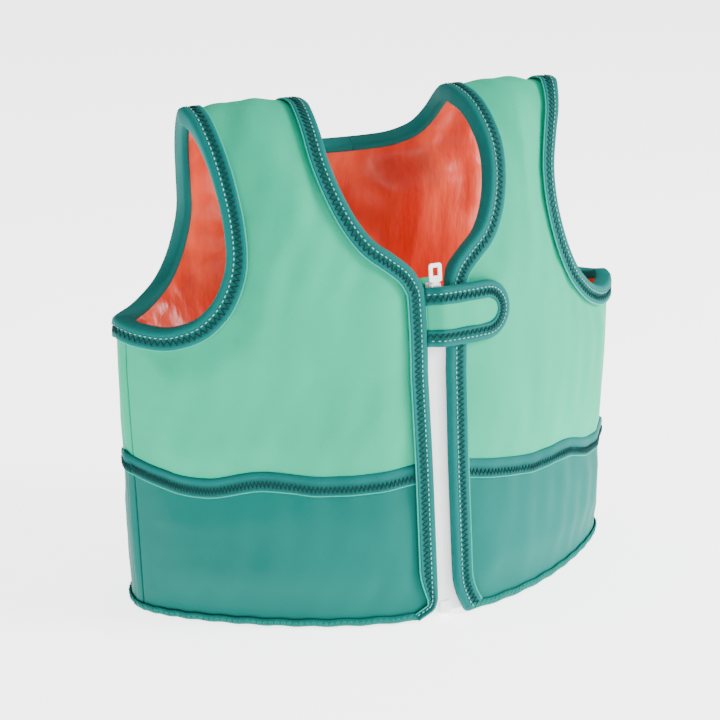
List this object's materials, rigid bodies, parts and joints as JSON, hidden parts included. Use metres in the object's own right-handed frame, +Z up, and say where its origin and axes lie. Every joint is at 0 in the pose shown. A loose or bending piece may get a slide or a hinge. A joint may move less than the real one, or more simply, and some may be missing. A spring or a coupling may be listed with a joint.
{
  "type": "life jacket",
  "caption": "Child's sleeveless foam swim vest: zipped front under a small closing tab, two-colour neoprene shell, bound armholes, neck and hem, satin lining.",
  "frame": {"origin": "middle of the hem outline, on the plane the vest stands on", "axes": "+X to the wearer's left, +Y to the wearer's back, +Z up; the zip faces -Y"},
  "size_m": [0.3376, 0.1843, 0.3007],
  "materials": {
    "mint_neoprene": "smooth knit-faced neoprene, soft sheen",
    "teal_neoprene": "smooth knit-faced neoprene, soft sheen",
    "binding": "folded knit binding with zigzag coverstitch",
    "lining": "satin woven polyester",
    "foam": "closed-cell foam, hidden",
    "zip_tape": "plain woven tape",
    "zip_plastic": "white moulded",
    "hook_and_loop": "napped pile"
  },
  "bodies": {
    "back": {"back_shell": "mint_neoprene", "back_band": "teal_neoprene", "back_foam_right": "foam", "back_foam_left": "foam", "back_lining": "lining", "back_neck_binding": "binding", "back_armhole_binding_right": "binding", "back_armhole_binding_left": "binding", "back_hem": "binding", "back_wave_tape": "binding", "right_side_strip": "mint_neoprene", "left_side_strip": "mint_neoprene", "right_strap_top": "mint_neoprene", "left_strap_top": "mint_neoprene"},
    "right_front": {"right_front_shell": "mint_neoprene", "right_front_band": "teal_neoprene", "right_front_foam": "foam", "right_front_lining": "lining", "right_front_binding": "binding", "right_front_armhole_binding": "binding", "right_front_hem": "binding", "right_wave_tape": "binding", "right_zip_tape": "zip_tape", "right_zip_coil": "zip_plastic", "right_top_stop": "zip_plastic", "zip_box": "zip_plastic", "zip_guard": "mint_neoprene", "tab_anchor": "mint_neoprene"},
    "left_front": {"left_front_shell": "mint_neoprene", "left_front_band": "teal_neoprene", "left_front_foam": "foam", "left_front_lining": "lining", "left_front_binding": "binding", "left_front_armhole_binding": "binding", "left_front_hem": "binding", "left_wave_tape": "binding", "left_zip_tape": "zip_tape", "left_zip_coil": "zip_plastic", "left_top_stop": "zip_plastic", "zip_pin": "zip_plastic", "tab_loop_patch": "hook_and_loop"},
    "slider": {"zip_slider": "zip_plastic"},
    "pull": {"zip_pull": "zip_plastic"},
    "tab": {"tab_panel": "mint_neoprene", "tab_binding": "binding", "tab_hook_patch": "hook_and_loop"}
  },
  "joints": [
    {"name": "right_front_open", "type": "hinge", "parent": "back", "child": "right_front", "pos_m": [-0.1655, 0.01, 0], "axis": [-0.124, 0, -0.9923], "range_deg": [0, 30], "deforming": ["right_side_strip", "right_strap_top"]},
    {"name": "left_front_open", "type": "hinge", "parent": "back", "child": "left_front", "pos_m": [0.1655, 0.01, 0], "axis": [-0.124, 0, 0.9923], "range_deg": [0, 30], "deforming": ["left_side_strip", "left_strap_top"]},
    {"name": "zip_slide", "type": "slide", "parent": "right_front", "child": "slider", "axis": [0, -0.0966, -0.9953], "range_m": [0, 0.18]},
    {"name": "pull_flip", "type": "hinge", "parent": "slider", "child": "pull", "pos_m": [0, -0.07201, 0.20136], "axis": [1, 0, 0], "range_deg": [0, 95]},
    {"name": "tab_peel", "type": "hinge", "parent": "right_front", "child": "tab", "pos_m": [-0.0058, -0.07747, 0.17987], "axis": [0, -0.1102, -0.9939], "range_deg": [0, 150]}
  ],
  "couplings": [
    {"joint": "left_front_open", "follows": "right_front_open", "ratio": 1}
  ]
}
